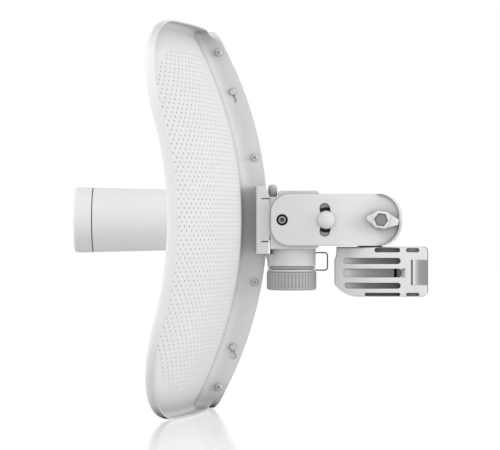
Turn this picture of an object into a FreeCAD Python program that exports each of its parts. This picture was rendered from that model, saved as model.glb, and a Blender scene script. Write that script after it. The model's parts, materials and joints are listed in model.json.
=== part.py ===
"""Outdoor wireless bridge: dish reflector, feed, radio housing, fork arm and pole clamp.

Frame: millimetres, +Z up. The origin is on the pole's axis at the pole saddle's mid-height.
The dish looks along -X. The seam of the two reflector halves lies in the plane Y = 0.
"""

import FreeCAD, Part
import math
import os

from FreeCAD import Vector

# Heights and axes
AXIS_Z = 46.3
PIVOT_X = -143.6
LOCK_X = -104.4
WING_X = -56.1
NECK_X = -134.7
POLE_R = 25.4
M6_FLATS = 10.0

# Reflector
APEX_X = -180.2
FOUR_F = 632.0
DISH_HALF_Y = 205.0
DISH_HALF_Z = 170.0
DISH_CORNER_R = 85.0
SHEET = 1.2
RIM_DEPTH = 9.6
FLANGE_R = 331.0
FLANGE_X = -156.5
CHAMFER_Z = 155.5
FLANGE_END_X = -211.7
FAR_FLANGE_END_X = -206.5
END_FLANGE_HALF_Y = 90.0
SPINE_HALF_Z = 22.0
SEAM_SCREW_Z = (150.3, 56.1, -56.1, -150.3)
SEAM_SCREW_X = (-200.5, -168.2, -168.2, -200.5)
STUD_X = -187.4
STUD_Z = (115.3, -114.4)
KEYHOLE_DROP = 7.6
KEYHOLE_ENTRY_R = 3.3
KEYHOLE_SLOT_R = 1.7
SEAM_THREAD_R = 1.5
SEAM_HOLE_R = 1.9
SEAM_HEAD_R = 3.2
STUD_R = 1.5
STUD_HEAD_R = 3.1

# Feed
FEED_FRONT_X = -329.3
FEED_SEAM_X = -312.4
FEED_CAP_R = 29.25
FEED_BASE_R = 26.0
FEED_BASE_X = -180.2
FEED_WALL = 2.0
BOARD_T = 1.2
BOARD_HALF_Z = 18.0
BOARD_X0 = -305.4
BOARD_X1 = -112.5
SUBREFLECTOR_R = 18.0
RADIATOR_R = 15.0
# each shield can: x0, x1, half height; each chip: x0, edge length, height
SHIELD_CANS = ((-296, -262, 13), (-252, -216, 15))
CAN_HEIGHT = 4.0
CAN_WALL = 0.4
CHIPS = ((-288, 12, 1.2), (-243, 14, 1.4), (-208, 9, 1.0))
PAD_T = 2.5
FIN_Z = (-12, -6, 0, 6, 12)

# Saddle and radio housing
SADDLE_X0 = -166.7
SADDLE_X1 = -154.1
SADDLE_HALF_Z = 30.3
SPINE_T = 5.0
SLIT_Z = (18.9, -19.3)
BODY_HALF_Y = 25.4
BODY_HALF_Z = 26.0
BODY_X0 = -154.0
BODY_SHELF_X = -146.4
BODY_SHELF_Z = 20.7
BODY_X1 = -109.1
BODY_WALL = 2.4
LUG_END_R = 15.6
LUG_WELL_R = 11.2
NECK_R = 21.65
NECK_BOTTOM_Z = 4.8
NECK_BORE_R = 15.0
SPIGOT_R = 19.2
SPIGOT_BOTTOM_Z = -9.0
LOCK_BOLT_R = 3.0
LOCK_HEAD_R = 8.1
LOCK_HEAD_T = 4.8
LOCK_DOME_R = 9.35
SLEEVE_R = 4.5
LOCK_SCREW_X = -151.6
LOCK_SCREW_R = 4.15
LOCK_SCREW_TOP_Z = 78.1
BUTTON_X = -123.3
BUTTON_Y = -3.2
BUTTON_R = 1.5
JACK_HALF_X = 8.0
JACK_HALF_Y = 7.0
JACK_BOTTOM_Z = 5.6
JACK_TOP_Z = 26.0
PLUG_HALF_X = 6.0
PLUG_HALF_Y = 4.0
PIN_PITCH = 1.02
PINS = 8

# Port cap
CAP_R = 22.3
CAP_TOP_Z = -0.6
CAP_BOTTOM_Z = -16.8
CAP_RIBS = 44
CABLE_R = 3.0
GROMMET_R = 7.0
RING_TOP_Z = 1.8
SEAL_TOP_Z = 4.2
SEAL_BOTTOM_Z = 2.6
TETHER_X = -102.4
TETHER_R = 0.6
TETHER_TOP_Z = 16.8
TETHER_BOTTOM_Z = 1.1

# Arm
ARM_X0 = -153.7
ARM_X1 = -36.9
ARM_HALF_Z = 23.1
ARM_INNER_Y = 26.0
ARM_OUTER_Y = 30.0
ARM_LEFT_R = 17.0
ARM_END_R = 19.5
POCKET_FLOOR_Y = 27.2
POCKET_X0 = -97.0
POCKET_SLOPE = 30.0
TONGUE_HALF_Y = 19.5
BRIDGE_X0 = -87.6
BRIDGE_X1 = -83.8
RIM_SHIFT = 2.8
SLOT_R = 39.2
SLOT_HALF_W = 4.65
SLOT_HALF_DEG = 15.2
PIVOT_SHOULDER_R = 2.5
PIVOT_SEAT_Y = 27.6
PIVOT_WASHER_T = 0.8
PIVOT_THREAD_R = 2.0
PIVOT_HEAD_R = 3.3
PIVOT_SEAT_R = 5.1
CLAMP_BOLT_R = 3.0
WING_FRONT_Y = -35.6
HUB_FRONT_Y = -37.4
WING_BACK_Y = -31.0
# half outlines of the knob's wings and hub: x from its axis, z above it
WING_OUTLINE = ((-12.6, 1.6), (-7.4, 4.6), (-3.8, 7.6), (4.2, 7.6), (8.4, 5.6), (15.8, 2.4))
HUB_OUTLINE = ((-6.8, 3.4), (-3.6, 7.3), (3.8, 7.3), (7.2, 3.8))
WING_ANGLE = 8.0
RUNNING = 0.08

# Pole clamp
BLOCK_X0 = -95.8
BLOCK_X1 = -14.5
BLOCK_HALF_Y = 28.0
BLOCK_CORNER_R = 4.0
FAR_JAW_X = -10.0
NOSE_HALF_Y = 12.0
SHOULDER_X = -52.0
STRAP_R = 45.2
BLOCK_TOP_Z = 21.9
BLOCK_BOTTOM_Z = -22.1
TONGUE_R = 18.5
TONGUE_INNER_Y = 13.5
STRAP_Z = (-4.9, 2.9)
STRAP_HALF_T = 1.4
NOTCH = (-29.1, -11.9, 10.7)
# grooves in the clamp's sides: x0, x1, z0, z1, depth
GROOVES = (
    (-61.5, -38.6, 17.4, 21.3, 8.0),
    (-88.5, -38.2, 7.0, 12.4, 11.0),
    (-88.5, -37.4, *STRAP_Z, 11.0),
    (-87.5, -38.2, -14.9, -9.7, 11.0),
    (-70.0, -38.6, -21.4, -18.6, 8.0),
    (-33.4, -21.6, 17.4, 21.2, 5.0),
    (-33.4, -21.6, -21.4, -18.6, 5.0),
)

X = Vector(1, 0, 0)
Y = Vector(0, 1, 0)
Z = Vector(0, 0, 1)
CENTRE = Vector(0, 0, AXIS_Z)


def level(x, y):
    """A point at the height of the dish's axis."""
    return Vector(x, y, AXIS_Z)


def neck(z):
    """A point on the cable port's upright axis."""
    return Vector(NECK_X, 0, z)


def box(x0, x1, y0, y1, z0, z1):
    """A box between two corners."""
    return Part.makeBox(x1 - x0, y1 - y0, z1 - z0, Vector(x0, y0, z0))


def rod(radius, start, end):
    """A solid cylinder between two points."""
    axis = end - start
    return Part.makeCylinder(radius, axis.Length, start, axis)


def tube(outer, inner, start, end):
    """A pipe between two points."""
    return rod(outer, start, end).cut(rod(inner, start, end))


def cone(r0, r1, start, end):
    """A cone frustum between two points."""
    axis = end - start
    return Part.makeCone(r0, r1, axis.Length, start, axis)


def prism(points, direction):
    """A straight prism over a closed polygon."""
    wire = Part.makePolygon([Vector(*p) for p in points] + [Vector(*points[0])])
    return Part.Face(wire).extrude(direction)


def group(shapes):
    """Several separate solids as one shape."""
    return shapes[0] if len(shapes) == 1 else Part.makeCompound(shapes)


def round_edges(shape, radius, wanted):
    """Round every edge whose centre satisfies the test."""
    edges = [e for e in shape.Edges if wanted(e.CenterOfMass)]
    return shape.makeFillet(radius, edges)


def hexagon(across_flats, centre, direction):
    """A hexagonal prism along Y with two corners on the X axis."""
    reach = across_flats / math.sqrt(3)
    points = []
    for k in range(6):
        angle = math.radians(60 * k)
        points.append((centre.x + reach * math.cos(angle), centre.y, centre.z + reach * math.sin(angle)))
    return prism(points, direction)


# ---------------------------------------------------------------- reflector


def outline_prism(inset):
    """The front outline of the dish, as a prism along X."""
    half_y = DISH_HALF_Y - inset
    half_z = DISH_HALF_Z - inset
    shape = box(-300, -150, -half_y, half_y, AXIS_Z - half_z, AXIS_Z + half_z)
    edges = [e for e in shape.Edges if abs(e.tangentAt(e.FirstParameter).x) > 0.99]
    return shape.makeFillet(DISH_CORNER_R - inset, edges)


def bowl_band(front_offset, back_offset):
    """The solid band between two shifted copies of the dish's paraboloid."""
    reach = 260.0
    steps = 14
    profile = []
    for shift in (front_offset, back_offset):
        points = []
        for k in range(steps + 1):
            r = reach * k / steps
            points.append(Vector(APEX_X + shift - r * r / FOUR_F, 0, AXIS_Z + r))
        curve = Part.BSplineCurve()
        curve.interpolate(points)
        profile.append(curve)
    front, back = profile
    wire = Part.Wire([
        front.toShape(),
        Part.makeLine(front.EndPoint, back.EndPoint),
        back.toShape(),
        Part.makeLine(back.StartPoint, front.StartPoint),
    ])
    return Part.Face(wire).revolve(CENTRE, X, 360)


def flange_outline(chamfered):
    """The back-turned seam flange as a face in the plane Y = 0, before the bowl is cut away."""
    centre_x = FLANGE_X - FLANGE_R
    corner_x = centre_x + math.sqrt(FLANGE_R ** 2 - CHAMFER_Z ** 2)
    bulge = -1.0 if chamfered else 2.0
    end_x = FLANGE_END_X if chamfered else FAR_FLANGE_END_X
    mid_x = (corner_x + end_x) / 2
    mid_z = (CHAMFER_Z + DISH_HALF_Z) / 2
    slope = math.hypot(corner_x - end_x, DISH_HALF_Z - CHAMFER_Z)
    out_x = (DISH_HALF_Z - CHAMFER_Z) / slope * bulge
    out_z = (corner_x - end_x) / slope * bulge
    edges = [Part.Arc(
        Vector(corner_x, 0, AXIS_Z + CHAMFER_Z),
        level(FLANGE_X, 0),
        Vector(corner_x, 0, AXIS_Z - CHAMFER_Z),
    ).toShape()]
    for side in (1, -1):
        edges.append(Part.Arc(
            Vector(corner_x, 0, AXIS_Z + side * CHAMFER_Z),
            Vector(mid_x + out_x, 0, AXIS_Z + side * (mid_z + out_z)),
            Vector(end_x, 0, AXIS_Z + side * DISH_HALF_Z),
        ).toShape())
        edges.append(Part.makeLine(
            Vector(end_x, 0, AXIS_Z + side * DISH_HALF_Z),
            Vector(-260, 0, AXIS_Z + side * DISH_HALF_Z),
        ))
    edges.append(Part.makeLine(
        Vector(-260, 0, AXIS_Z + DISH_HALF_Z),
        Vector(-260, 0, AXIS_Z - DISH_HALF_Z),
    ))
    return Part.Face(Part.Wire(Part.sortEdges(edges)[0]))


def end_flange(side):
    """A back-turned wall along the top or bottom edge of one half, tapering away from the seam."""
    z = AXIS_Z + side * DISH_HALF_Z
    outer_x = APEX_X + SHEET + RIM_DEPTH - (DISH_HALF_Z ** 2 + END_FLANGE_HALF_Y ** 2) / FOUR_F
    far_y = END_FLANGE_HALF_Y
    points = [(FLANGE_END_X, 0, z), (outer_x, far_y, z), (-260, far_y, z), (-260, 0, z)]
    return prism(points, Vector(0, 0, -side * SHEET))


def reflector_half(side, chamfered):
    """One stamped half: bowl, back-turned rim, seam flange and the deeper rim beside the seam."""
    outer = outline_prism(0)
    ring = outer.cut(outline_prism(SHEET))
    bowl = outer.common(bowl_band(0, SHEET))
    rim = ring.common(bowl_band(SHEET / 2, SHEET + RIM_DEPTH))
    behind = outer.cut(outer.common(bowl_band(-200, SHEET / 2)))
    seam = flange_outline(chamfered).extrude(Vector(0, SHEET, 0))
    walls = [seam] + [end_flange(s) for s in (1, -1)]
    shape = bowl.fuse([rim])
    half = box(-300, -100, 0, 200, -200, 300)
    shape = shape.common(half).fuse([w.common(behind) for w in walls])
    slot = box(-200, -100, -1, 2 * SHEET, AXIS_Z - SPINE_HALF_Z, AXIS_Z + SPINE_HALF_Z)
    throat = box(-200, -100, -1, 4.2, AXIS_Z - SPINE_HALF_Z, AXIS_Z + SPINE_HALF_Z)
    shape = shape.cut([slot, throat])
    if side < 0:
        shape = shape.mirror(Vector(0, 0, 0), Y)
    return shape.removeSplitter()


def seam_screw_places():
    """Points on the seam plane where the two halves are screwed together."""
    return [Vector(x, 0, AXIS_Z + z) for x, z in zip(SEAM_SCREW_X, SEAM_SCREW_Z)]


def seam_holes():
    """Clearance holes for the seam screws, through both flanges."""
    return [rod(SEAM_HOLE_R, p - Y * 3, p + Y * 3) for p in seam_screw_places()]


def make_reflector_near():
    shape = reflector_half(-1, True).cut(seam_holes())
    keyholes = []
    for z in STUD_Z:
        top = Vector(STUD_X, -3, AXIS_Z + z)
        low = Vector(STUD_X, -3, AXIS_Z + z - KEYHOLE_DROP)
        keyholes.append(rod(KEYHOLE_SLOT_R, top, top + Y * 4))
        keyholes.append(rod(KEYHOLE_ENTRY_R, low, low + Y * 4))
        keyholes.append(box(STUD_X - KEYHOLE_SLOT_R, STUD_X + KEYHOLE_SLOT_R, -3, 1, low.z, top.z))
    return shape.cut(keyholes)


def make_reflector_far():
    holes = [rod(STUD_R, Vector(STUD_X, -1, AXIS_Z + z), Vector(STUD_X, 3, AXIS_Z + z)) for z in STUD_Z]
    return reflector_half(1, False).cut(seam_holes() + holes)


def make_alignment_studs():
    studs = []
    for z in STUD_Z:
        at = Vector(STUD_X, 0, AXIS_Z + z)
        head = rod(STUD_HEAD_R, at - Y * 2.9, at - Y * 1.4)
        head = head.makeFillet(0.6, [e for e in head.Edges if abs(e.CenterOfMass.y + 2.9) < 0.01])
        studs.append(head.fuse(rod(STUD_R, at - Y * 1.5, at + Y * SHEET)))
    return group(studs)


def make_seam_screws():
    screws = []
    for at in seam_screw_places():
        head = rod(SEAM_HEAD_R, at - Y * 3.2, at - Y * SHEET)
        head = head.makeFillet(1.0, [e for e in head.Edges if abs(e.CenterOfMass.y + 3.2) < 0.01])
        screw = head.fuse(rod(SEAM_THREAD_R, at - Y * SHEET, at + Y * 6.0))
        for arm in (box(-1.9, 1.9, 0, 1.3, -0.45, 0.45), box(-0.45, 0.45, 0, 1.3, -1.9, 1.9)):
            arm.rotate(Vector(0, 0, 0), Y, 45)
            arm.translate(at - Y * 3.21)
            screw = screw.cut(arm)
        screws.append(screw)
    return group(screws)


def make_seam_nuts():
    nuts = []
    for at in seam_screw_places():
        nut = hexagon(5.5, at + Y * SHEET, Y * 2.4)
        nuts.append(nut.cut(rod(SEAM_THREAD_R, at, at + Y * 6)))
    return group(nuts)


# ---------------------------------------------------------------- feed


def feed_radius(x):
    """Outer radius of the tapering feed tube at a place along the axis."""
    share = (x - FEED_SEAM_X) / (FEED_BASE_X - FEED_SEAM_X)
    return FEED_CAP_R - 0.3 + (FEED_BASE_R - FEED_CAP_R + 0.3) * share


def make_feed_tube():
    start = level(FEED_SEAM_X, 0)
    end = level(FEED_BASE_X, 0)
    outer = cone(feed_radius(start.x), FEED_BASE_R, start, end)
    inner_end = end - X * 3.0
    inner = cone(feed_radius(start.x) - FEED_WALL, feed_radius(inner_end.x) - FEED_WALL, start, inner_end)
    slot = box(FEED_BASE_X - 4, FEED_BASE_X + 1, -2.6, 2.6, AXIS_Z - 20.2, AXIS_Z + 20.2)
    shape = outer.cut([inner, slot])
    curved_seat = outline_prism(0).common(bowl_band(0, 60))
    return shape.cut(curved_seat)


def make_feed_cap():
    front = level(FEED_FRONT_X, 0)
    seam = level(FEED_SEAM_X - 0.8, 0)
    shell = rod(FEED_CAP_R, front, seam)
    shell = shell.makeFillet(2.2, [e for e in shell.Edges if abs(e.CenterOfMass.x - FEED_FRONT_X) < 0.01])
    shell = shell.cut(rod(FEED_CAP_R - FEED_WALL, front + X * 2.2, seam))
    spigot_r = FEED_CAP_R - 0.3 - FEED_WALL - 0.1
    spigot = tube(spigot_r, spigot_r - 1.6, seam - X * 4, seam + X * 5)
    bridge = tube(FEED_CAP_R - 0.5, spigot_r - 1.6, seam - X * 2.5, seam)
    return shell.fuse([spigot, bridge])


def make_subreflector():
    back = level(FEED_FRONT_X + 3.0, 0)
    return rod(SUBREFLECTOR_R, back, back + X * 1.5)


def make_radiator():
    """A dipole board held across the end of the radio board."""
    start = level(-307.0, 0)
    board = rod(RADIATOR_R, start, start + X * 1.6)
    stem = tube(4.0, 2.6, level(FEED_FRONT_X + 4.5, 0), start)
    return board.fuse(stem)


def make_radio_board():
    half_t = BOARD_T / 2
    main_part = box(BOARD_X0, BOARD_X1, -half_t, half_t, AXIS_Z - BOARD_HALF_Z, AXIS_Z + BOARD_HALF_Z)
    tail = box(-147, -122.4, -BOARD_T / 2, BOARD_T / 2, 13.0, AXIS_Z - 10)
    pivot_gap = rod(4.6, level(PIVOT_X, -2), level(PIVOT_X, 2))
    notch = box(NECK_X - JACK_HALF_X - 0.2, NECK_X + JACK_HALF_X + 0.2, -2, 2, 5, JACK_TOP_Z + 0.2)
    return main_part.fuse(tail).cut([pivot_gap, notch]).removeSplitter()


def make_shield_cans():
    cans = []
    y0 = BOARD_T / 2
    for x0, x1, half in SHIELD_CANS:
        inside = half - CAN_WALL
        outer = box(x0, x1, y0, y0 + CAN_HEIGHT, AXIS_Z - half, AXIS_Z + half)
        y1 = y0 + CAN_HEIGHT - CAN_WALL
        inner = box(x0 + CAN_WALL, x1 - CAN_WALL, y0, y1, AXIS_Z - inside, AXIS_Z + inside)
        cans.append(outer.cut(inner))
    return group(cans)


def make_board_chips():
    chips = []
    for x0, size, height in CHIPS:
        z0 = AXIS_Z - size / 2
        chips.append(box(x0, x0 + size, BOARD_T / 2, BOARD_T / 2 + height, z0, z0 + size))
    return group(chips)


def make_thermal_pad():
    y0 = BOARD_T / 2 + CAN_HEIGHT
    return box(-249, -219, y0, y0 + PAD_T, AXIS_Z - 12, AXIS_Z + 12)


def make_heat_spreader():
    """A bent aluminium plate that carries heat from the shield can to the tube wall."""
    y0 = BOARD_T / 2 + CAN_HEIGHT + PAD_T
    plate = box(-262, -206, y0, y0 + 1.5, AXIS_Z - 16, AXIS_Z + 16)
    fins = [box(-258, -210, y0 + 1.5, y0 + 9, AXIS_Z + z - 0.6, AXIS_Z + z + 0.6) for z in FIN_Z]
    return plate.fuse(fins)


# ---------------------------------------------------------------- saddle and housing


def make_saddle():
    """The white saddle: grips the flange's edge and holds the flat spine that enters the feed."""
    z0 = AXIS_Z - SADDLE_HALF_Z
    z1 = AXIS_Z + SADDLE_HALF_Z
    profile = [(SADDLE_X0, z1), (SADDLE_X0, z0), (SADDLE_X1 - 1.6, z0), (SADDLE_X1 - 1.6, z0 + 9.5)]
    profile += [(SADDLE_X1, AXIS_Z - 12), (SADDLE_X1, AXIS_Z + 12), (SADDLE_X1 - 0.7, z1 - 9), (-158.2, z1)]
    shape = prism([(x, -BODY_HALF_Y, z) for x, z in profile], Y * 2 * BODY_HALF_Y)
    front = Vector(SADDLE_X0, BODY_HALF_Y, 0)
    shape = round_edges(shape, 2.0, lambda c: max(abs(c.x - front.x), abs(abs(c.y) - front.y)) < 0.01)
    spine = box(FEED_BASE_X - 3.4, SADDLE_X0 + 1, -SPINE_T / 2, SPINE_T / 2, AXIS_Z - 20, AXIS_Z + 20)
    core_half_z = SPINE_HALF_Z - 0.3
    core = box(SADDLE_X0 - 0.1, SADDLE_X1 - 3.0, -4, 4, AXIS_Z - core_half_z, AXIS_Z + core_half_z)
    cavity = box(FEED_BASE_X - 10, SADDLE_X1 + 1, -1.5, 1.5, AXIS_Z - 18.3, AXIS_Z + 18.3)
    shelf = Vector(LOCK_SCREW_X, 0, AXIS_Z + BODY_SHELF_Z)
    relief = rod(LOCK_SCREW_R + 0.3, shelf, shelf + Z * 25)
    slits = []
    for z in SLIT_Z:
        low = AXIS_Z + z - 0.45
        slits.append(box(-162.0, SADDLE_X1 + 1, -BODY_HALF_Y - 1, -BODY_HALF_Y + 3, low, low + 0.9))
        slits.append(box(-162.0, SADDLE_X1 + 1, BODY_HALF_Y - 3, BODY_HALF_Y + 1, low, low + 0.9))
    return shape.cut([flange_groove(), relief] + slits).fuse([core, spine]).cut(cavity).removeSplitter()


def housing_profile(inset):
    """The housing seen from the side, as a face in the plane Y = 0."""
    z0 = AXIS_Z - BODY_HALF_Z + inset
    z1 = AXIS_Z + BODY_HALF_Z - inset
    shelf = AXIS_Z + BODY_SHELF_Z - inset
    x0 = BODY_X0 + inset
    x1 = BODY_X1 - inset
    shelf_x = BODY_SHELF_X + inset
    points = [(x0, z0), (x0, shelf), (shelf_x, shelf), (shelf_x, z1 - 1), (shelf_x + 1, z1), (x1 - 3.2, z1)]
    points += [(x1, z1 - 4.5), (x1, z0 + 4.5), (x1 - 4.5, z0)]
    return Part.Face(Part.makePolygon([Vector(x, 0, z) for x, z in points + points[:1]]))


def housing_block(inset):
    """The housing as a block, without its neck and lug."""
    face = housing_profile(inset)
    half_y = BODY_HALF_Y - inset
    face.translate(Vector(0, -half_y, 0))
    return face.extrude(Y * 2 * half_y)


def lock_lug():
    """The rear lug that carries the tilt lock bolt, with a deep round recess on each side."""
    at = level(LOCK_X, 0)
    plate = box(BODY_X1 - 4, LOCK_X, -BODY_HALF_Y, BODY_HALF_Y, AXIS_Z - LUG_END_R, AXIS_Z + LUG_END_R)
    end = rod(LUG_END_R, at - Y * BODY_HALF_Y, at + Y * BODY_HALF_Y)
    return plate.fuse(end)


def lug_recess():
    """The dark wells around the tilt lock bolt."""
    at = level(LOCK_X, 0)
    wells = [rod(LUG_WELL_R, at + Y * s * 12, at + Y * s * (BODY_HALF_Y + 1)) for s in (-1, 1)]
    return wells + [rod(SLEEVE_R + 0.05, at - Y * 30, at + Y * 30)]


def front_gasket(clearance):
    """The flat ring that seals the housing's front opening against the saddle."""
    x1 = BODY_X0 + 0.8 + clearance
    outer = box(SADDLE_X1, x1, -23.4, 23.4, AXIS_Z - 23.4, AXIS_Z + 19.7)
    inner = box(SADDLE_X1, x1, -22.2, 22.2, AXIS_Z - 22.2, AXIS_Z + 18.9)
    return outer.cut(inner)


def flange_groove():
    """The clearance cut that lets a piece straddle the seam flange."""
    groove = flange_outline(True).extrude(Y * 2 * (SHEET + 0.1))
    groove.translate(Vector(0.15, -(SHEET + 0.1), 0))
    return groove


def port_neck():
    """The cable port's neck with its threaded spigot and the flare towards the saddle."""
    under_saddle = AXIS_Z - SADDLE_HALF_Z - 0.2
    barrel = rod(NECK_R, neck(NECK_BOTTOM_Z), neck(AXIS_Z - BODY_HALF_Z + 4))
    barrel = barrel.cut(box(-200, BODY_X0, -40, 40, under_saddle, AXIS_Z))
    flare = cone(NECK_R, NECK_R + 3.4, neck(8.4), neck(AXIS_Z - BODY_HALF_Z + 1))
    flare = flare.common(box(SADDLE_X0 + 4, NECK_X - 14, -14, 14, 0, under_saddle))
    spigot = rod(SPIGOT_R, neck(SPIGOT_BOTTOM_Z), neck(NECK_BOTTOM_Z))
    return barrel.fuse([flare, spigot])


def button_guide():
    """The bush that the reset button slides in, joined to the neck's inner wall."""
    low = Vector(BUTTON_X, BUTTON_Y, 20.5)
    web = box(BUTTON_X, BUTTON_X + 5.0, BUTTON_Y - 1.2, BUTTON_Y + 1.2, low.z, low.z + 3.0)
    return rod(2.5, low, low + Z * 3.0).fuse(web)


def make_rear_housing():
    """The moulded housing: hollow body, port neck, rear lug, and bosses for its screws."""
    hollow = housing_block(BODY_WALL)
    mouth = box(BODY_X0 - 1, BODY_X0 + 3, -21, 21, AXIS_Z - 20, AXIS_Z + 9)
    front_slot = box(BODY_X0 - 1, BODY_X0 + 3, -1.6, 1.6, AXIS_Z + 8, AXIS_Z + 18.4)
    bore = rod(NECK_BORE_R, neck(SPIGOT_BOTTOM_Z - 1), neck(AXIS_Z - 15))
    bosses = [
        rod(5.5, Vector(PIVOT_X, s * (BODY_HALF_Y - 0.5), AXIS_Z), level(PIVOT_X, s * 13.0))
        for s in (-1, 1)
    ]
    bosses.append(box(BODY_X0 + 1, BODY_SHELF_X + 2, -6, 6, AXIS_Z + 10, AXIS_Z + BODY_SHELF_Z - 1))
    shape = housing_block(0).fuse([port_neck(), lock_lug()]).cut([hollow, bore])
    shape = shape.fuse(bosses + [button_guide()])
    board_gap = box(BODY_X0, -110, -1.4, 1.4, AXIS_Z + 9, AXIS_Z + 18.4)
    pivot_holes = [
        rod(PIVOT_THREAD_R, level(PIVOT_X, s * 40), level(PIVOT_X, s * 15.0)) for s in (-1, 1)
    ]
    shelf = Vector(LOCK_SCREW_X, 0, AXIS_Z + BODY_SHELF_Z)
    screw_hole = rod(1.5, shelf - Z * 2.1, shelf + Z)
    neck_side = NECK_X + NECK_R
    guide = box(neck_side - 2.4, neck_side + 2, -0.8, 0.8, NECK_BOTTOM_Z - 1, TETHER_TOP_Z + 0.8)
    button_hole = rod(BUTTON_R + RUNNING, Vector(BUTTON_X, BUTTON_Y, 20), Vector(BUTTON_X, BUTTON_Y, 24))
    cuts = lug_recess() + pivot_holes + [board_gap, mouth, front_slot, screw_hole, guide, button_hole]
    return shape.cut(cuts + [front_gasket(0.1), flange_groove()])


def make_pivot_screws():
    screws = []
    for side in (-1, 1):
        def at(y):
            return level(PIVOT_X, side * y)
        seat = PIVOT_SEAT_Y + PIVOT_WASHER_T + 0.1
        head = rod(PIVOT_HEAD_R, at(seat), at(seat + 1.9))
        shoulder = rod(PIVOT_SHOULDER_R, at(BODY_HALF_Y), at(seat))
        thread = rod(PIVOT_THREAD_R, at(16.0), at(BODY_HALF_Y))
        socket = hexagon(3.4, at(seat + 2.0), Y * -side * 3.2)
        screws.append(head.fuse([shoulder, thread]).cut(socket))
    return group(screws)


def make_pivot_washers():
    washers = []
    for side in (-1, 1):
        floor = level(PIVOT_X, side * PIVOT_SEAT_Y)
        top = floor + Y * side * PIVOT_WASHER_T
        washers.append(tube(PIVOT_SEAT_R - 0.15, PIVOT_SHOULDER_R + RUNNING, floor, top))
    return group(washers)


def make_tilt_lock_bolt():
    def at(y):
        return level(LOCK_X, y)
    under = -ARM_OUTER_Y - 0.2
    dome = Part.makeSphere(LOCK_DOME_R, at(under + LOCK_DOME_R - LOCK_HEAD_T))
    head = rod(LOCK_HEAD_R, at(under - LOCK_HEAD_T - 1), at(under)).common(dome)
    return head.fuse(rod(LOCK_BOLT_R, at(under), at(37.0)))


def make_lock_sleeve():
    return tube(SLEEVE_R, LOCK_BOLT_R, level(LOCK_X, -29.0), level(LOCK_X, 29.0))


def make_lock_washer_and_nut():
    def at(y):
        return level(LOCK_X, y)
    washer = tube(8.0, LOCK_BOLT_R, at(ARM_OUTER_Y + 0.2), at(ARM_OUTER_Y + 1.6))
    nut = hexagon(M6_FLATS, at(ARM_OUTER_Y + 1.6), Y * 5.0).cut(rod(LOCK_BOLT_R, at(0), at(60)))
    return washer, nut


def make_lock_screw():
    """The knurled thumb screw that locks the housing to the saddle."""
    def at(z):
        return Vector(LOCK_SCREW_X, 0, z)
    low = AXIS_Z + BODY_SHELF_Z + 1.0
    head = rod(LOCK_SCREW_R, at(low), at(LOCK_SCREW_TOP_Z))
    head = head.makeFillet(3.4, [e for e in head.Edges if abs(e.CenterOfMass.z - LOCK_SCREW_TOP_Z) < 0.01])
    grooves = []
    for k in range(14):
        angle = 2 * math.pi * k / 14
        side = Vector(math.cos(angle), math.sin(angle), 0) * (LOCK_SCREW_R + 0.2)
        grooves.append(rod(0.5, at(low - 1) + side, at(LOCK_SCREW_TOP_Z - 2.0) + side))
    return head.cut(grooves).fuse(rod(1.42, at(AXIS_Z + 18.8), at(low)))


def make_lock_screw_washer():
    low = AXIS_Z + BODY_SHELF_Z + 0.1
    return tube(3.6, 1.5, Vector(LOCK_SCREW_X, 0, low), Vector(LOCK_SCREW_X, 0, low + 0.8))


def make_ethernet_jack():
    low = JACK_BOTTOM_Z
    shell = box(NECK_X - JACK_HALF_X, NECK_X + JACK_HALF_X, -JACK_HALF_Y, JACK_HALF_Y, low, JACK_TOP_Z)
    mouth = box(NECK_X - PLUG_HALF_X, NECK_X + PLUG_HALF_X, -PLUG_HALF_Y, PLUG_HALF_Y, low - 1, 19.0)
    latch = box(NECK_X - 3.2, NECK_X + 3.2, PLUG_HALF_Y - 0.1, PLUG_HALF_Y + 1.9, low - 1, 14.0)
    return shell.cut([mouth, latch])


def make_jack_contacts():
    pins = []
    for k in range(PINS):
        x = NECK_X + PIN_PITCH * (k - (PINS - 1) / 2)
        pins.append(box(x - 0.2, x + 0.2, -3.95, -2.6, 8.5, 18.5))
    return group(pins)


def make_reset_button():
    at = Vector(BUTTON_X, BUTTON_Y, 19.2)
    return rod(BUTTON_R, at, at + Z * 5.4).fuse(rod(2.2, at + Z * 5.4, at + Z * 6.4))


def make_reset_switch():
    return box(BUTTON_X - 2.6, BUTTON_X + 2.6, BUTTON_Y - 2.6, -BOARD_T / 2, 26.4, 28.0)


def make_status_light_pipe():
    """A clear rod that carries the status light to the housing's top."""
    return rod(1.2, Vector(-128, -3, AXIS_Z + 18.5), Vector(-128, -3, AXIS_Z + BODY_HALF_Z - BODY_WALL))


# ---------------------------------------------------------------- port cap


def make_seal_ring():
    return tube(NECK_R - 0.45, SPIGOT_R + 0.1, neck(SEAL_BOTTOM_Z), neck(SEAL_TOP_Z))


def make_swivel_ring():
    low = neck(CAP_TOP_Z + 0.3)
    top = neck(RING_TOP_Z)
    ring = tube(NECK_R, SPIGOT_R + 0.1, low, top)
    ring = ring.makeFillet(0.4, [e for e in ring.Edges if e.Length > 2 * math.pi * (NECK_R - 0.1)])
    leg = Vector(NECK_X + SPIGOT_R + 0.6, 0, TETHER_BOTTOM_Z)
    return ring.cut(rod(TETHER_R, leg, leg + X * 5))


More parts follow.
